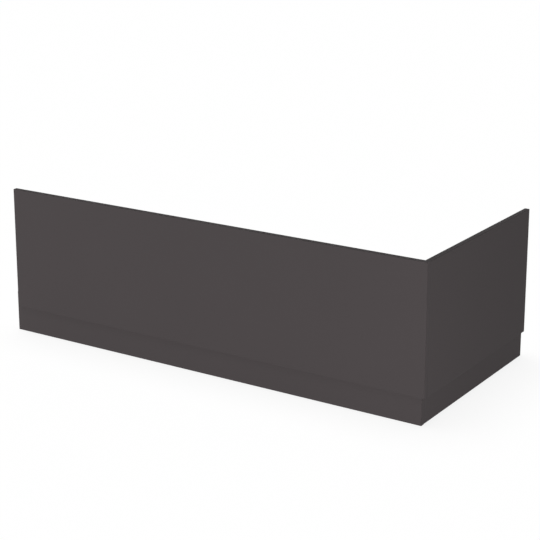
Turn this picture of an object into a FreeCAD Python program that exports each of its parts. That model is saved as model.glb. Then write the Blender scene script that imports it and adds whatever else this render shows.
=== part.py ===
import FreeCAD, Part
import math
import os
import Sketcher

# Bath panel set for the front and one end of a built-in bath: two MDF panels meeting
# at a square corner, each standing on a plinth board that is screwed behind it.
# Millimetres. X runs along the front, Y from the front to the back, Z up from the floor.
# The origin is the middle of the underside of the whole set.

SIZES = {
    "front_length": 1700,        # front panel and its plinth, one side of a 1700 bath
    "end_length": 750,           # end panel and its plinth, across a 750 bath
    "panel_height": 450,
    "panel_thickness": 18,       # MDF board
    "plinth_height": 150,
    "plinth_thickness": 18,      # MDF board
    "plinth_overlap": 50,        # height of plinth covered by the panel in front of it
    "arris_radius": 2,           # wrapped edges of every outer face
    "slot_width": 6,             # height adjusting slots in the plinths
    "slot_length": 30,
    "slot_end_distance": 100,    # from the end of a plinth to its first slot
    "slot_pitch_limit": 500,     # widest spacing of the slots
    "block_leg": 25,             # moulded corner blocks
    "block_length": 40,
    "block_wall": 4,
    "block_web": 3,
    "block_round": 3,            # corners at the free ends of the legs
    "block_hole": 4.5,
    "upper_block_drop": 50,      # below the top edge of the panels
    "lower_block_rise": 40,      # above the top edge of the plinths
    "plinth_block_rise": 40,     # above the floor
}

doc = FreeCAD.newDocument("BathPanel")
sheet = doc.addObject("Spreadsheet::Sheet", "Sizes")
for row, (alias, value) in enumerate(SIZES.items(), start=1):
    sheet.set(f"A{row}", alias)
    sheet.set(f"B{row}", str(value))
    sheet.setAlias(f"B{row}", alias)
doc.recompute()

# Places that several boards share, counted from the outer bottom corner of the set
CORNER_X = "(Sizes.front_length + Sizes.panel_thickness) / 2"
CORNER_Y = "-(Sizes.end_length + Sizes.panel_thickness + Sizes.plinth_thickness) / 2"
PANEL_BACK_X = f"({CORNER_X} - Sizes.panel_thickness)"
PANEL_BACK_Y = f"({CORNER_Y} + Sizes.panel_thickness)"
PLINTH_BACK_X = f"({PANEL_BACK_X} - Sizes.plinth_thickness)"
PLINTH_BACK_Y = f"({PANEL_BACK_Y} + Sizes.plinth_thickness)"
PANEL_FOOT = "(Sizes.plinth_height - Sizes.plinth_overlap)"
PANEL_TOP = f"({PANEL_FOOT} + Sizes.panel_height)"


def new_body(name, x, y, z):
    """A body whose place in the set follows the sizes."""
    body = doc.addObject("PartDesign::Body", name)
    body.Label = name
    body.setExpression("Placement.Base.x", x)
    body.setExpression("Placement.Base.y", y)
    body.setExpression("Placement.Base.z", z)
    return body


def new_sketch(body, plane, name):
    """A sketch on one of the body's own origin planes."""
    sketch = body.newObject("Sketcher::SketchObject", f"{body.Name}_{name}")
    support = next(f for f in body.Origin.OriginFeatures if f.Role == plane)
    sketch.AttachmentSupport = [(support, "")]
    sketch.MapMode = "FlatFace"
    return sketch


def bind(sketch, kind, places, name, expression):
    """A named dimension of a sketch that follows the sizes."""
    index = sketch.addConstraint(Sketcher.Constraint(kind, *places, 1.0))
    sketch.renameConstraint(index, name)
    sketch.setExpression(f"Constraints.{name}", expression)


def closed_lines(sketch, points):
    """A closed run of straight lines, each joined to the next at its end."""
    for start, end in zip(points, points[1:] + points[:1]):
        sketch.addGeometry(Part.LineSegment(FreeCAD.Vector(*start, 0), FreeCAD.Vector(*end, 0)), False)
    for line in range(len(points)):
        sketch.addConstraint(Sketcher.Constraint("Coincident", line, 2, (line + 1) % len(points), 1))


def board(name, plane, length, height, thickness, outward, x, y, z):
    """A sawn board: rectangle, thickness behind the outer face, wrapped outer edges."""
    body = new_body(name, x, y, z)
    outline = new_sketch(body, plane, "outline")
    wide = SIZES[length]
    tall = SIZES[height]
    closed_lines(outline, [(0, 0), (wide, 0), (wide, tall), (0, tall)])
    for line, way in ((0, "Horizontal"), (1, "Vertical"), (2, "Horizontal"), (3, "Vertical")):
        outline.addConstraint(Sketcher.Constraint(way, line))
    outline.addConstraint(Sketcher.Constraint("Coincident", 0, 1, -1, 1))
    bind(outline, "DistanceX", (0, 1, 0, 2), "length", f"Sizes.{length}")
    bind(outline, "DistanceY", (1, 1, 1, 2), "height", f"Sizes.{height}")

    pad = body.newObject("PartDesign::Pad", f"{name}_board")
    pad.Profile = outline
    pad.Reversed = True
    pad.setExpression("Length", f"Sizes.{thickness}")
    doc.recompute()

    faces = [f for f in pad.Shape.Faces if f.normalAt(0, 0).dot(outward) > 0.9]
    edges = [
        f"Edge{number}"
        for number, edge in enumerate(pad.Shape.Edges, start=1)
        if any(edge.isSame(rim) for rim in faces[0].Edges)
    ]
    arris = body.newObject("PartDesign::Fillet", f"{name}_arris")
    arris.Base = (pad, edges)
    arris.setExpression("Radius", "Sizes.arris_radius")
    body.Tip = arris
    doc.recompute()
    return body


def cut_slots(body, plane, length):
    """Upright adjusting slots along a plinth, in the strip that the panel covers."""
    profile = new_sketch(body, plane, "slot")
    half = SIZES["slot_width"] / 2
    centre = SIZES["slot_end_distance"]
    middle = SIZES["plinth_height"] - SIZES["plinth_overlap"] / 2
    reach = SIZES["slot_length"] / 2 - half
    top = FreeCAD.Vector(centre, middle + reach, 0)
    low = FreeCAD.Vector(centre, middle - reach, 0)
    side = FreeCAD.Vector(half, 0, 0)
    up = FreeCAD.Vector(0, 0, 1)
    profile.addGeometry(Part.ArcOfCircle(Part.Circle(top, up, half), 0, math.pi), False)
    profile.addGeometry(Part.LineSegment(top - side, low - side), False)
    profile.addGeometry(Part.ArcOfCircle(Part.Circle(low, up, half), math.pi, 2 * math.pi), False)
    profile.addGeometry(Part.LineSegment(low + side, top + side), False)
    profile.addConstraint(Sketcher.Constraint("Tangent", 0, 2, 1, 1))
    profile.addConstraint(Sketcher.Constraint("Tangent", 1, 2, 2, 1))
    profile.addConstraint(Sketcher.Constraint("Tangent", 2, 2, 3, 1))
    profile.addConstraint(Sketcher.Constraint("Tangent", 3, 2, 0, 1))
    profile.addConstraint(Sketcher.Constraint("Vertical", 1))
    profile.addConstraint(Sketcher.Constraint("Equal", 0, 2))
    bind(profile, "Radius", (0,), "end_radius", "Sizes.slot_width / 2")
    bind(profile, "DistanceX", (-1, 1, 0, 3), "from_end", "Sizes.slot_end_distance")
    bind(profile, "DistanceY", (2, 3, 0, 3), "centres", "Sizes.slot_length - Sizes.slot_width")
    bind(
        profile, "DistanceY", (-1, 1, 2, 3), "low_centre",
        "Sizes.plinth_height - (Sizes.plinth_overlap + Sizes.slot_length - Sizes.slot_width) / 2",
    )

    slot = body.newObject("PartDesign::Pocket", f"{body.Name}_slot_cut")
    slot.Profile = profile
    slot.Type = "ThroughAll"
    slot.Midplane = True
    doc.recompute()

    run = f"(Sizes.{length} - 2 * Sizes.slot_end_distance)"
    row = body.newObject("PartDesign::LinearPattern", f"{body.Name}_slots")
    row.Originals = [slot]
    row.Direction = (profile, ["H_Axis"])
    row.setExpression("Length", run)
    row.setExpression("Occurrences", f"ceil({run} / Sizes.slot_pitch_limit) + 1")
    body.Tip = row
    doc.recompute()


def corner_block(name, x, y, z):
    """A moulded angle with a web at each end, rounded legs and one screw hole in each leg."""
    body = new_body(name, x, y, z)
    leg = SIZES["block_leg"]
    wall = SIZES["block_wall"]

    angle = new_sketch(body, "XY_Plane", "angle")
    closed_lines(angle, [(0, 0), (0, leg), (-wall, leg), (-wall, wall), (-leg, wall), (-leg, 0)])
    for line, way in enumerate(("Vertical", "Horizontal") * 3):
        angle.addConstraint(Sketcher.Constraint(way, line))
    angle.addConstraint(Sketcher.Constraint("Coincident", 0, 1, -1, 1))
    bind(angle, "DistanceY", (0, 1, 0, 2), "leg_a", "Sizes.block_leg")
    bind(angle, "DistanceX", (5, 1, 5, 2), "leg_b", "Sizes.block_leg")
    bind(angle, "DistanceX", (1, 2, 1, 1), "wall_a", "Sizes.block_wall")
    bind(angle, "DistanceY", (4, 2, 4, 1), "wall_b", "Sizes.block_wall")
    legs = body.newObject("PartDesign::Pad", f"{name}_legs")
    legs.Profile = angle
    legs.setExpression("Length", "Sizes.block_length")

    gusset = new_sketch(body, "XY_Plane", "gusset")
    closed_lines(gusset, [(0, 0), (0, leg), (-leg, 0)])
    gusset.addConstraint(Sketcher.Constraint("Vertical", 0))
    gusset.addConstraint(Sketcher.Constraint("Horizontal", 2))
    gusset.addConstraint(Sketcher.Constraint("Coincident", 0, 1, -1, 1))
    bind(gusset, "DistanceY", (0, 1, 0, 2), "rise", "Sizes.block_leg")
    bind(gusset, "DistanceX", (2, 1, 2, 2), "run", "Sizes.block_leg")
    web = body.newObject("PartDesign::Pad", f"{name}_web")
    web.Profile = gusset
    web.setExpression("Length", "Sizes.block_web")
    doc.recompute()
    webs = body.newObject("PartDesign::LinearPattern", f"{name}_webs")
    webs.Originals = [web]
    webs.Direction = (gusset, ["N_Axis"])
    webs.setExpression("Length", "Sizes.block_length - Sizes.block_web")
    webs.Occurrences = 2
    body.Tip = webs
    doc.recompute()

    free_ends = [
        face for face in webs.Shape.Faces
        if math.isclose(face.CenterOfMass.y, leg) or math.isclose(face.CenterOfMass.x, -leg)
    ]
    corners = [
        f"Edge{number}"
        for number, edge in enumerate(webs.Shape.Edges, start=1)
        if math.isclose(edge.Length, wall) and any(edge.isSame(rim) for f in free_ends for rim in f.Edges)
    ]
    rounding = body.newObject("PartDesign::Fillet", f"{name}_rounding")
    rounding.Base = (webs, corners)
    rounding.setExpression("Radius", "Sizes.block_round")
    body.Tip = rounding
    doc.recompute()

    across = "(Sizes.block_leg + Sizes.block_wall) / 2"
    for plane, side in (("XZ_Plane", -1), ("YZ_Plane", 1)):
        ring = new_sketch(body, plane, f"hole_{plane[:2]}")
        centre = FreeCAD.Vector(side * (leg + wall) / 2, SIZES["block_length"] / 2, 0)
        ring.addGeometry(
            Part.Circle(centre, FreeCAD.Vector(0, 0, 1), SIZES["block_hole"] / 2), False
        )
        bind(ring, "Diameter", (0,), "hole", "Sizes.block_hole")
        ends = (-1, 1, 0, 3) if side > 0 else (0, 3, -1, 1)
        bind(ring, "DistanceX", ends, "across", across)
        bind(ring, "DistanceY", (-1, 1, 0, 3), "up", "Sizes.block_length / 2")
        hole = body.newObject("PartDesign::Pocket", f"{name}_hole_{plane[:2]}")
        hole.Profile = ring
        hole.Type = "ThroughAll"
        hole.Midplane = True
        body.Tip = hole
        doc.recompute()
    return body


# The two panels. The end panel butts on the back of the front panel.
FRONT = FreeCAD.Vector(0, -1, 0)
SIDE = FreeCAD.Vector(1, 0, 0)
front_panel = board(
    "front_panel", "XZ_Plane", "front_length", "panel_height", "panel_thickness", FRONT,
    f"{CORNER_X} - Sizes.front_length", CORNER_Y, PANEL_FOOT,
)
end_panel = board(
    "end_panel", "YZ_Plane", "end_length", "panel_height", "panel_thickness", SIDE,
    CORNER_X, PANEL_BACK_Y, PANEL_FOOT,
)

# The two plinths lie against the backs of the panels and meet in the same way, so each
# is set in by one panel thickness and its free end stands out by the same amount.
front_plinth = board(
    "front_plinth", "XZ_Plane", "front_length", "plinth_height", "plinth_thickness", FRONT,
    f"{PANEL_BACK_X} - Sizes.front_length", PANEL_BACK_Y, "0",
)
end_plinth = board(
    "end_plinth", "YZ_Plane", "end_length", "plinth_height", "plinth_thickness", SIDE,
    PANEL_BACK_X, PLINTH_BACK_Y, "0",
)
cut_slots(front_plinth, "XZ_Plane", "front_length")
cut_slots(end_plinth, "YZ_Plane", "end_length")

# Corner blocks in the inside corner hold the boards square: two on the panels, one on
# the plinths.
corner_block(
    "corner_block_upper", PANEL_BACK_X, PANEL_BACK_Y,
    f"{PANEL_TOP} - Sizes.upper_block_drop - Sizes.block_length",
)
corner_block(
    "corner_block_lower", PANEL_BACK_X, PANEL_BACK_Y,
    "Sizes.plinth_height + Sizes.lower_block_rise",
)
corner_block(
    "corner_block_plinth", PLINTH_BACK_X, PLINTH_BACK_Y, "Sizes.plinth_block_rise",
)

doc.recompute()
for item in doc.Objects:
    if "Invalid" in item.State or "Error" in item.State:
        raise RuntimeError(f"{item.Name} did not compute: {item.State}")

os.makedirs("parts", exist_ok=True)
for item in doc.Objects:
    if item.TypeId != "PartDesign::Body":
        continue
    if item.Shape.isNull() or not item.Shape.isValid() or len(item.Shape.Solids) != 1:
        raise RuntimeError(f"{item.Label} is not one valid solid")
    item.Shape.exportStep(f"parts/{item.Label}.step")
    box = item.Shape.BoundBox
    print(
        item.Label, f"{item.Shape.Volume:.1f} mm3",
        f"x {box.XMin:.2f}..{box.XMax:.2f}", f"y {box.YMin:.2f}..{box.YMax:.2f}",
        f"z {box.ZMin:.2f}..{box.ZMax:.2f}",
    )
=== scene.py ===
import math

import bmesh
import bpy
from mathutils import Matrix, Vector


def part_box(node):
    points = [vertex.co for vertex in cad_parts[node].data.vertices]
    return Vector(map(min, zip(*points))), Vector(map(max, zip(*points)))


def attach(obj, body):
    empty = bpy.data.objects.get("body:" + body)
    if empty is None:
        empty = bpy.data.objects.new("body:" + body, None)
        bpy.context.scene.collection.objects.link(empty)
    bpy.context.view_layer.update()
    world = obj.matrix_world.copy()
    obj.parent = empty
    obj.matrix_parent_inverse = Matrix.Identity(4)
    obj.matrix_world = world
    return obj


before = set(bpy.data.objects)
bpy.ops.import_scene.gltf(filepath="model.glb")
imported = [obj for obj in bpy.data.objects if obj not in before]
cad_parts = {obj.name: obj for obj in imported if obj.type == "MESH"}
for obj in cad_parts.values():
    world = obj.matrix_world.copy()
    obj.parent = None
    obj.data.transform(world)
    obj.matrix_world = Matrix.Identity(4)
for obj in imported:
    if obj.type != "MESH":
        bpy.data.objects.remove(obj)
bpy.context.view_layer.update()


# Front panel and end panel: sheets of MDF with a warm dark grey matt foil pressed over the
# outer face and the narrow edges. The back is plain white melamine, and a cut made through a
# finished board shows the brown MDF. The end panel butts on the back of the front panel.

class Strand:
    """A shader socket. Sums of strands and numbers add Math nodes to the same tree."""

    def __init__(self, tree, socket=None):
        self.tree = tree
        self.socket = socket

    def add(self, kind, settings=None, inputs=None, out=0):
        """Adds a node: its settings first, then the values or links of its sockets."""
        node = self.tree.nodes.new(kind)
        for name, value in (settings or {}).items():
            setattr(node, name, value)
        for name, value in (inputs or {}).items():
            if isinstance(value, Strand):
                self.tree.links.new(value.socket, node.inputs[name])
            else:
                node.inputs[name].default_value = value
        return Strand(self.tree, node.outputs[out] if node.outputs else None)

    def math(self, operation, *values):
        return self.add("ShaderNodeMath", {"operation": operation}, dict(enumerate(values)))

    def mix(self, low, high):
        """A colour between low and high, with this strand as the share of high."""
        return self.add(
            "ShaderNodeMix", {"data_type": "RGBA"}, {0: self, 6: low, 7: high}, out=2
        )

    def __add__(self, other):
        return self.math("ADD", self, other)

    def __sub__(self, other):
        return self.math("SUBTRACT", self, other)

    def __rsub__(self, other):
        return self.math("SUBTRACT", other, self)

    def __mul__(self, other):
        return self.math("MULTIPLY", self, other)

    def __gt__(self, other):
        return self.math("GREATER_THAN", self, other)

    def __lt__(self, other):
        return self.math("LESS_THAN", self, other)

    __radd__ = __add__
    __rmul__ = __mul__


def new_material(name):
    """An empty node material, and a strand to add its nodes with."""
    material = bpy.data.materials.new(name)
    material.use_nodes = True
    material.node_tree.nodes.clear()
    return material, Strand(material.node_tree)


def close_material(strand, shader):
    strand.add("ShaderNodeOutputMaterial", None, {"Surface": shader})


FOIL_GREY = (0.0775, 0.0671, 0.0689, 1)
FOIL_GREY_DEEP = (0.0535, 0.0463, 0.0476, 1)
MELAMINE_WHITE = (0.70, 0.69, 0.67, 1)
MELAMINE_DULL = (0.65, 0.64, 0.62, 1)
MDF_BROWN = (0.33, 0.225, 0.135, 1)
MDF_DARK = (0.21, 0.135, 0.078, 1)
FOIL_RIM = 0.004


def cut_share(shade, spot, node, back):
    """1 for the points that lie inside the outline of a board, away from its wrapped edges."""
    low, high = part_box(node)
    inside = []
    for axis in range(3):
        if back[axis] == 0:
            place = shade.add("ShaderNodeSeparateXYZ", None, {"Vector": spot}, out=axis)
            inside.append((place > low[axis] + FOIL_RIM) * (place < high[axis] - FOIL_RIM))
    return inside[0] * inside[1]


def board_finish(node, back):
    """Foil on the face and edges of a board; back is the way its hidden side looks."""
    material, shade = new_material(node + "_finish")
    spot = shade.add("ShaderNodeTexCoord", out="Object")
    facing = shade.add("ShaderNodeTexCoord", out="Normal")
    behind = shade.add(
        "ShaderNodeVectorMath", {"operation": "DOT_PRODUCT"}, {0: facing, 1: back}, out="Value"
    )
    on_back = behind > 0.7
    on_cut = (behind * behind < 0.5) * cut_share(shade, spot, node, back)

    broad = shade.add("ShaderNodeTexNoise", None, {"Vector": spot, "Scale": 2.2, "Detail": 2.0})
    cloud = shade.add("ShaderNodeTexNoise", None, {"Vector": spot, "Scale": 45.0, "Detail": 3.0})
    grain = shade.add("ShaderNodeTexNoise", None, {"Vector": spot, "Scale": 900.0, "Detail": 4.0})
    peel = shade.add("ShaderNodeTexNoise", None, {"Vector": spot, "Scale": 320.0, "Detail": 1.0})
    foil = (0.3 * broad + 0.7 * grain).mix(FOIL_GREY_DEEP, FOIL_GREY)
    melamine = cloud.mix(MELAMINE_DULL, MELAMINE_WHITE)
    mdf = grain.mix(MDF_DARK, MDF_BROWN)
    colour = on_cut.mix(on_back.mix(foil, melamine), mdf)

    rough = 0.56 + 0.06 * broad + 0.04 * peel - 0.12 * on_back + 0.25 * on_cut
    bump = shade.add("ShaderNodeBump", None, {
        "Height": peel + (0.5 + 2 * on_cut) * grain, "Strength": 0.6, "Distance": 0.00006,
    })
    close_material(shade, shade.add("ShaderNodeBsdfPrincipled", None, {
        "Base Color": colour, "Roughness": rough, "Specular IOR Level": 0.07, "Normal": bump,
    }))
    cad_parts[node].material_slots[0].material = material


FRONT_BACK = (0, 1, 0)
END_BACK = (-1, 0, 0)
board_finish("front_panel", FRONT_BACK)
board_finish("end_panel", END_BACK)


# Front plinth and end plinth: narrower strips of the same board, screwed to the backs of the
# panels so that only their lower part shows, one board thickness back from the face.

board_finish("front_plinth", FRONT_BACK)
board_finish("end_plinth", END_BACK)


# Plinth screws: zinc plated pan head screws with a wide washer each, driven from behind
# through the upright slots of the plinths, so that the height can be set.

def turned(outline, sides):
    """A bmesh turned about Z from (radius, height) points; a radius of 0 closes an end."""
    shape = bmesh.new()
    rings = []
    for radius, height in outline:
        if radius == 0:
            rings.append([shape.verts.new((0, 0, height))])
            continue
        rings.append([
            shape.verts.new((radius * math.cos(turn), radius * math.sin(turn), height))
            for turn in (2 * math.pi * side / sides for side in range(sides))
        ])
    for lower, upper in zip(rings, rings[1:]):
        for side in range(sides):
            corners = [lower[side % len(lower)], lower[(side + 1) % len(lower)]]
            corners += [upper[(side + 1) % len(upper)], upper[side % len(upper)]]
            shape.faces.new(list(dict.fromkeys(corners)))
    return shape


def arc(centre, radius, start, end, steps):
    """Points of a round stretch of an outline, angles in degrees."""
    return [
        (centre[0] + radius * math.cos(turn), centre[1] + radius * math.sin(turn))
        for turn in (math.radians(start + (end - start) * step / steps) for step in range(steps + 1))
    ]


def as_mesh(name, shape):
    bmesh.ops.recalc_face_normals(shape, faces=shape.faces)
    mesh = bpy.data.meshes.new(name)
    shape.to_mesh(mesh)
    shape.free()
    return mesh


SCREW_SHANK = 0.002
SCREW_HEAD = 0.0040
SCREW_HEAD_HEIGHT = 0.0026
SCREW_HEAD_ROUND = 0.0012
SCREW_CROWN = 0.00016
SCREW_SIDES = 32
RECESS_REACH = 0.0023
RECESS_WIDTH = 0.0009
RECESS_DEPTH = 0.0016
RECESS_TAPER = 0.45


def pan_head_screw(name, reach):
    """A pan head screw standing on Z = 0, its shank going reach below, with a cross recess."""
    shoulder = SCREW_HEAD - SCREW_HEAD_ROUND
    side = SCREW_HEAD_HEIGHT - SCREW_HEAD_ROUND
    outline = [(0, -reach), (SCREW_SHANK * 0.5, -reach), (SCREW_SHANK, -reach + SCREW_SHANK)]
    outline += [(SCREW_SHANK, 0), (SCREW_HEAD, 0), (SCREW_HEAD, side)]
    outline += arc((shoulder, side), SCREW_HEAD_ROUND, 15, 90, 5)
    outline += [(shoulder * 0.5, SCREW_HEAD_HEIGHT + SCREW_CROWN * 0.75)]
    outline += [(0, SCREW_HEAD_HEIGHT + SCREW_CROWN)]
    screw = bpy.data.objects.new(name, as_mesh(name, turned(outline, SCREW_SIDES)))
    bpy.context.scene.collection.objects.link(screw)

    cross = bmesh.new()
    for long_way in (0, 1):
        size = [RECESS_WIDTH, RECESS_WIDTH, RECESS_DEPTH * 2]
        size[long_way] = 2 * RECESS_REACH
        bar = bmesh.ops.create_cube(cross, size=1.0)["verts"]
        bmesh.ops.scale(cross, vec=size, verts=bar)
        for corner in bar:
            if corner.co.z < 0:
                corner.co.x *= RECESS_TAPER
                corner.co.y *= RECESS_TAPER
    bmesh.ops.translate(cross, vec=(0, 0, SCREW_HEAD_HEIGHT), verts=cross.verts)
    cutter = bpy.data.objects.new("recess_cutter", as_mesh("recess_cutter", cross))
    bpy.context.scene.collection.objects.link(cutter)
    cut = screw.modifiers.new("recess", "BOOLEAN")
    cut.object = cutter
    cut.solver = "EXACT"
    cut.use_self = True
    bpy.context.view_layer.update()
    depsgraph = bpy.context.evaluated_depsgraph_get()
    mesh = bpy.data.meshes.new_from_object(screw.evaluated_get(depsgraph))
    bpy.data.objects.remove(screw)
    bpy.data.objects.remove(cutter)
    return mesh


SPIN_STEP = math.radians(137.5)
SHARP_FROM = math.radians(35)


def set_out(name, mesh, places, material):
    """One piece made of copies of mesh; each place is a point and the way the copy looks."""
    copies = bmesh.new()
    for number, (point, way) in enumerate(places):
        before = len(copies.verts)
        copies.from_mesh(mesh)
        copies.verts.ensure_lookup_table()
        turn = Vector(way).to_track_quat("Z", "Y").to_matrix().to_4x4()
        spin = Matrix.Rotation(SPIN_STEP * number, 4, "Z")
        bmesh.ops.transform(
            copies, matrix=Matrix.Translation(point) @ turn @ spin, verts=copies.verts[before:]
        )
    joined = as_mesh(name, copies)
    joined.materials.clear()
    joined.materials.append(material)
    piece = bpy.data.objects.new(name, joined)
    bpy.context.scene.collection.objects.link(piece)
    joined.shade_smooth()
    joined.set_sharp_from_angle(angle=SHARP_FROM)
    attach(piece, "root")


ZINC = (0.52, 0.52, 0.51, 1)
ZINC_DULL = (0.40, 0.40, 0.39, 1)


def zinc_plate(name):
    """Bright zinc plating: pale metal with a faint cloudy bloom."""
    material, shade = new_material(name)
    spot = shade.add("ShaderNodeTexCoord", out="Object")
    bloom = shade.add("ShaderNodeTexNoise", None, {"Vector": spot, "Scale": 900.0, "Detail": 3.0})
    close_material(shade, shade.add("ShaderNodeBsdfPrincipled", None, {
        "Base Color": bloom.mix(ZINC_DULL, ZINC),
        "Metallic": 1.0, "Roughness": 0.26 + 0.16 * bloom,
    }))
    return material


SLOT_END_DISTANCE = 0.100
SLOT_PITCH_LIMIT = 0.500
WASHER_INNER = 0.0022
WASHER_OUTER = 0.0080
WASHER_THICK = 0.0014
WASHER_ROUND = 0.0003
WASHER_SIDES = 48
SCREW_BITE = 0.012


def slot_centres(low, high, along):
    """Distances along a plinth at which its slots stand, as many as the pitch limit asks."""
    run = high[along] - low[along] - 2 * SLOT_END_DISTANCE
    gaps = math.ceil(round(run / SLOT_PITCH_LIMIT, 6))
    return [low[along] + SLOT_END_DISTANCE + run * gap / gaps for gap in range(gaps + 1)]


panel_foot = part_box("front_panel")[0].z
slot_places = []
low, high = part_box("front_plinth")
slot_height = (panel_foot + high.z) / 2
for x in slot_centres(low, high, 0):
    slot_places.append((Vector((x, high.y, slot_height)), FRONT_BACK))
plinth_thickness = high.y - low.y
low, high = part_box("end_plinth")
for y in slot_centres(low, high, 1):
    slot_places.append((Vector((low.x, y, slot_height)), END_BACK))

zinc = zinc_plate("zinc_plate")
rim = WASHER_OUTER - WASHER_ROUND
ring = [(WASHER_INNER, 0), (rim, 0)]
ring += arc((rim, WASHER_ROUND), WASHER_ROUND, -90, 0, 3)[1:]
ring += arc((rim, WASHER_THICK - WASHER_ROUND), WASHER_ROUND, 0, 90, 3)
ring += [(WASHER_INNER, WASHER_THICK), (WASHER_INNER, 0)]
washer = turned(ring, WASHER_SIDES)
bmesh.ops.remove_doubles(washer, verts=washer.verts, dist=1e-7)
set_out("plinth_washers", as_mesh("washer", washer), slot_places, zinc)
head_places = [(point + WASHER_THICK * Vector(way), way) for point, way in slot_places]
plinth_screw = pan_head_screw("plinth_screw", WASHER_THICK + plinth_thickness + SCREW_BITE)
set_out("plinth_screws", plinth_screw, head_places, zinc)


# Corner blocks: angles moulded in grey plastic with a web at each end. They sit in the inside
# corner and take one screw into each board.

BLOCK_GREY = (0.20, 0.20, 0.202, 1)
BLOCK_GREY_DEEP = (0.17, 0.17, 0.172, 1)
BLOCK_WALL = 0.004


def moulded_plastic(name):
    """Grey polypropylene with the fine even grain of a sparked mould."""
    material, shade = new_material(name)
    spot = shade.add("ShaderNodeTexCoord", out="Object")
    grain = shade.add("ShaderNodeTexNoise", None, {"Vector": spot, "Scale": 2600.0, "Detail": 2.0})
    cloud = shade.add("ShaderNodeTexNoise", None, {"Vector": spot, "Scale": 60.0, "Detail": 2.0})
    bump = shade.add(
        "ShaderNodeBump", None, {"Height": grain, "Strength": 0.4, "Distance": 0.00003}
    )
    close_material(shade, shade.add("ShaderNodeBsdfPrincipled", None, {
        "Base Color": cloud.mix(BLOCK_GREY_DEEP, BLOCK_GREY),
        "Roughness": 0.42 + 0.1 * grain, "Normal": bump,
    }))
    return material


block_plastic = moulded_plastic("block_plastic")
block_screw_places = []
for node in ("corner_block_upper", "corner_block_lower", "corner_block_plinth"):
    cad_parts[node].material_slots[0].material = block_plastic
    low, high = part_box(node)
    middle = (low + high) / 2
    on_front = Vector(((low.x + high.x - BLOCK_WALL) / 2, low.y + BLOCK_WALL, middle.z))
    on_end = Vector((high.x - BLOCK_WALL, (low.y + high.y + BLOCK_WALL) / 2, middle.z))
    block_screw_places += [(on_front, FRONT_BACK), (on_end, END_BACK)]
block_screw = pan_head_screw("block_screw", BLOCK_WALL + SCREW_BITE)
set_out("corner_block_screws", block_screw, block_screw_places, zinc)


# Studio: a plain pale floor that runs on into a white surround. Soft lamps stand low round the
# object, and two weak ones hang above it. A broad light from the ceiling falls on the floor alone
# and gives the soft shadow.

FLOOR_HALF = 30.0
PAPER_SEEN = (0.95, 0.95, 0.95, 1)
PAPER_BOUNCE = (0.15, 0.15, 0.15, 1)
PAPER_GLOW = 0.86
sweep = bmesh.new()
bmesh.ops.create_grid(sweep, x_segments=1, y_segments=1, size=FLOOR_HALF)
floor = bpy.data.objects.new("floor", as_mesh("floor", sweep))
bpy.context.scene.collection.objects.link(floor)
paper, shade = new_material("floor_paper")


def seen_share(shade):
    """1 for a ray that shows the surround to the eye, by itself, in a gloss or through glass."""
    camera = shade.add("ShaderNodeLightPath", out="Is Camera Ray")
    glossy = shade.add("ShaderNodeLightPath", out="Is Glossy Ray")
    through = shade.add("ShaderNodeLightPath", out="Is Transmission Ray")
    return shade.math("MAXIMUM", shade.math("MAXIMUM", camera, glossy), through)


bounce = shade.add("ShaderNodeBsdfDiffuse", None, {"Color": PAPER_BOUNCE})
matt = shade.add("ShaderNodeBsdfDiffuse", None, {"Color": PAPER_SEEN})
glow = shade.add("ShaderNodeEmission", None, {"Color": (1, 1, 1, 1), "Strength": 1.0})
shown = shade.add("ShaderNodeMixShader", None, {0: PAPER_GLOW, 1: matt, 2: glow})
close_material(shade, shade.add(
    "ShaderNodeMixShader", None, {0: seen_share(shade), 1: bounce, 2: shown}
))
floor.data.materials.append(paper)

world = bpy.data.worlds.new("studio")
bpy.context.scene.world = world
world.use_nodes = True
world.node_tree.nodes.clear()
shade = Strand(world.node_tree)
SURROUND_LIGHT = 0.12
SURROUND_SEEN = 1.0
level = SURROUND_LIGHT + (SURROUND_SEEN - SURROUND_LIGHT) * seen_share(shade)
sky = shade.add("ShaderNodeBackground", None, {"Color": (1, 1, 1, 1), "Strength": level})
shade.add("ShaderNodeOutputWorld", None, {"Surface": sky})


def lit_things(name, state):
    """What a lamp lights: the floor by itself, or with EXCLUDE all but the floor."""
    things = bpy.data.collections.new(name)
    things.objects.link(floor)
    things.collection_objects[0].light_linking.link_state = state
    return things


object_alone = lit_things("object_alone", "EXCLUDE")
floor_alone = lit_things("floor_alone", "INCLUDE")


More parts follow.
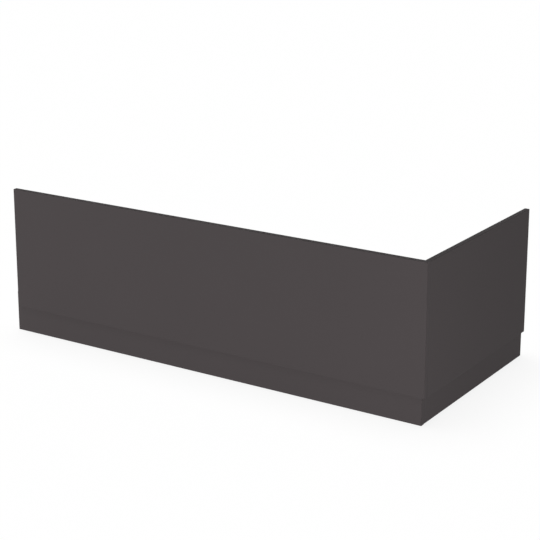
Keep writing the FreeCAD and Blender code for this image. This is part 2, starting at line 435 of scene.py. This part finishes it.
def soft_lamp(name, place, target, width, height, power):
    """A lamp of width by height at place, turned to target, that lights the object."""
    lamp = bpy.data.lights.new(name, "AREA")
    lamp.shape = "RECTANGLE"
    lamp.size = width
    lamp.size_y = height
    lamp.energy = power
    rig = bpy.data.objects.new(name, lamp)
    rig.location = place
    rig.rotation_euler = (Vector(target) - Vector(place)).to_track_quat("-Z", "Y").to_euler()
    rig.visible_camera = False
    rig.light_linking.receiver_collection = object_alone
    bpy.context.scene.collection.objects.link(rig)


soft_lamp("left_lamp", (-2.2, -4.6, 0.15), (-0.4, -0.39, 0.15), width=2.4, height=0.3, power=143)
soft_lamp("right_lamp", (2.95, -2.1, 0.15), (0.8, -0.2, 0.15), width=1.8, height=0.3, power=54)
soft_lamp("front_top_lamp", (-0.2, -2.3, 3.2), (-0.1, -0.9, 0.0), width=3.0, height=1.2, power=10)
soft_lamp("back_lamp", (-2.6, 3.4, 0.35), (0.2, 0.0, 0.25), width=2.6, height=0.5, power=185)
soft_lamp("over_lamp", (0.0, 0.0, 3.4), (0.0, 0.0, 0.0), width=2.6, height=1.6, power=12)

CEILING_POWER = 2.9
CEILING_SPREAD = 45
CEILING_WAY = (-0.11, -0.02, 1)
ceiling = bpy.data.lights.new("ceiling", "SUN")
ceiling.energy = CEILING_POWER
ceiling.angle = math.radians(CEILING_SPREAD)
rig = bpy.data.objects.new("ceiling", ceiling)
rig.rotation_euler = Vector(CEILING_WAY).to_track_quat("Z", "Y").to_euler()
rig.light_linking.receiver_collection = floor_alone
bpy.context.scene.collection.objects.link(rig)


# Camera: at the photograph's height and angle, with a long lens and a little fall of the
# lens, so that the upright edges lean less.

CAMERA_PLACE = (2.857, -4.345, 1.881)
CAMERA_TURN = 33.095
CAMERA_DROP = 14.635
CAMERA_LENS = 100
CAMERA_FALL = -0.12
camera = bpy.data.cameras.new("camera")
camera.sensor_width = 36
camera.lens = CAMERA_LENS
camera.shift_y = CAMERA_FALL
rig = bpy.data.objects.new("camera", camera)
rig.location = CAMERA_PLACE
rig.rotation_euler = (math.radians(90 - CAMERA_DROP), 0, math.radians(CAMERA_TURN))
bpy.context.scene.collection.objects.link(rig)
bpy.context.scene.camera = rig
bpy.context.scene.view_settings.view_transform = "Standard"
